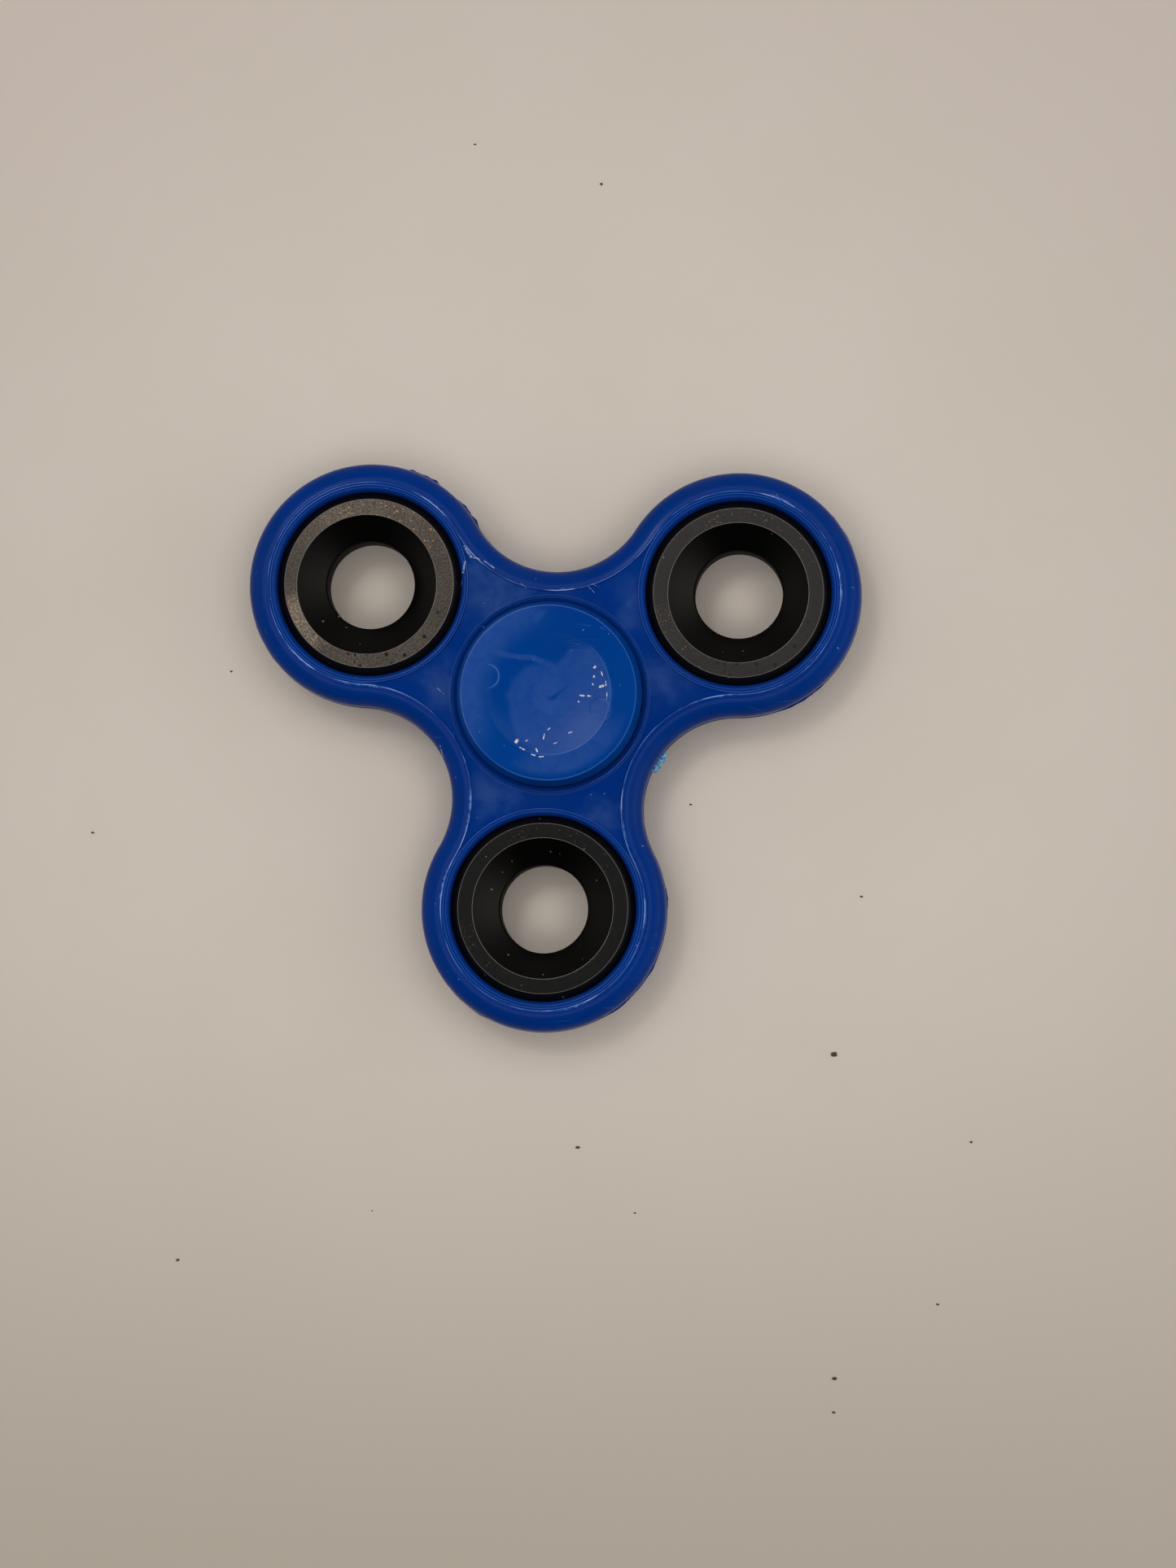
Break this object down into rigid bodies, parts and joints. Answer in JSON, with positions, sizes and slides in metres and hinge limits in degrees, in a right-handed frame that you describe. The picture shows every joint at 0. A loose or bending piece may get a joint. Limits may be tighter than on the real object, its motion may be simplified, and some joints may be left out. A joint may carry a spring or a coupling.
{
  "type": "fidget spinner",
  "caption": "Hand spinner with round lobes: a moulded frame turns on a central ball bearing between dished finger caps, and each lobe holds a blackened steel counterweight ring.",
  "frame": {"origin": "centre of the central bearing, on the spin axis at mid-thickness, which is also the centre of mass", "axes": "+Z along the spin axis, towards the upper finger cap; lobe 1 along -Y, and the others follow anticlockwise seen from above"},
  "size_m": [0.0732, 0.0673, 0.0124],
  "materials": {
    "blue_frame": "glossy moulded blue, rubbed pale along the crest",
    "blue_cap": "glossy moulded blue, scuffed in the dish",
    "blackened_weight": "satin black oxide on turned steel, worn grey on the flat face",
    "race_steel": "ground bearing steel",
    "ball_steel": "polished bearing steel",
    "cage_steel": "pressed sheet steel",
    "shield_steel": "bright sheet steel",
    "wire_steel": "spring steel wire"
  },
  "bodies": {
    "hub": {"bearing_inner_race": "race_steel", "finger_cap_upper": "blue_cap", "finger_cap_lower": "blue_cap"},
    "rotor": {"spinner_frame": "blue_frame", "counterweight_1": "blackened_weight", "counterweight_2": "blackened_weight", "counterweight_3": "blackened_weight", "bearing_outer_race": "race_steel", "bearing_shield_upper": "shield_steel", "bearing_shield_lower": "shield_steel", "shield_snap_wire_upper": "wire_steel", "shield_snap_wire_lower": "wire_steel"},
    "cage": {"bearing_cage_upper": "cage_steel", "bearing_cage_lower": "cage_steel"},
    "ball_1": {"bearing_ball_1": "ball_steel"},
    "ball_2": {"bearing_ball_2": "ball_steel"},
    "ball_3": {"bearing_ball_3": "ball_steel"},
    "ball_4": {"bearing_ball_4": "ball_steel"},
    "ball_5": {"bearing_ball_5": "ball_steel"},
    "ball_6": {"bearing_ball_6": "ball_steel"},
    "ball_7": {"bearing_ball_7": "ball_steel"}
  },
  "joints": [
    {"name": "spin", "type": "hinge", "parent": "hub", "child": "rotor", "pos_m": [0, 0, 0], "axis": [0, 0, 1], "continuous": true},
    {"name": "cage_orbit", "type": "hinge", "parent": "hub", "child": "cage", "pos_m": [0, 0, 0], "axis": [0, 0, 1], "continuous": true},
    {"name": "ball_1_roll", "type": "hinge", "parent": "cage", "child": "ball_1", "pos_m": [0.0075, 0, 0], "axis": [0, 0, 1], "continuous": true},
    {"name": "ball_2_roll", "type": "hinge", "parent": "cage", "child": "ball_2", "pos_m": [0.00468, 0.00586, 0], "axis": [0, 0, 1], "continuous": true},
    {"name": "ball_3_roll", "type": "hinge", "parent": "cage", "child": "ball_3", "pos_m": [-0.00167, 0.00731, 0], "axis": [0, 0, 1], "continuous": true},
    {"name": "ball_4_roll", "type": "hinge", "parent": "cage", "child": "ball_4", "pos_m": [-0.00676, 0.00325, 0], "axis": [0, 0, 1], "continuous": true},
    {"name": "ball_5_roll", "type": "hinge", "parent": "cage", "child": "ball_5", "pos_m": [-0.00676, -0.00325, 0], "axis": [0, 0, 1], "continuous": true},
    {"name": "ball_6_roll", "type": "hinge", "parent": "cage", "child": "ball_6", "pos_m": [-0.00167, -0.00731, 0], "axis": [0, 0, 1], "continuous": true},
    {"name": "ball_7_roll", "type": "hinge", "parent": "cage", "child": "ball_7", "pos_m": [0.00468, -0.00586, 0], "axis": [0, 0, 1], "continuous": true}
  ],
  "couplings": [
    {"joint": "cage_orbit", "follows": "spin", "ratio": 0.6323},
    {"joint": "ball_1_roll", "follows": "spin", "ratio": 1.7573},
    {"joint": "ball_2_roll", "follows": "spin", "ratio": 1.7573},
    {"joint": "ball_3_roll", "follows": "spin", "ratio": 1.7573},
    {"joint": "ball_4_roll", "follows": "spin", "ratio": 1.7573},
    {"joint": "ball_5_roll", "follows": "spin", "ratio": 1.7573},
    {"joint": "ball_6_roll", "follows": "spin", "ratio": 1.7573},
    {"joint": "ball_7_roll", "follows": "spin", "ratio": 1.7573}
  ]
}
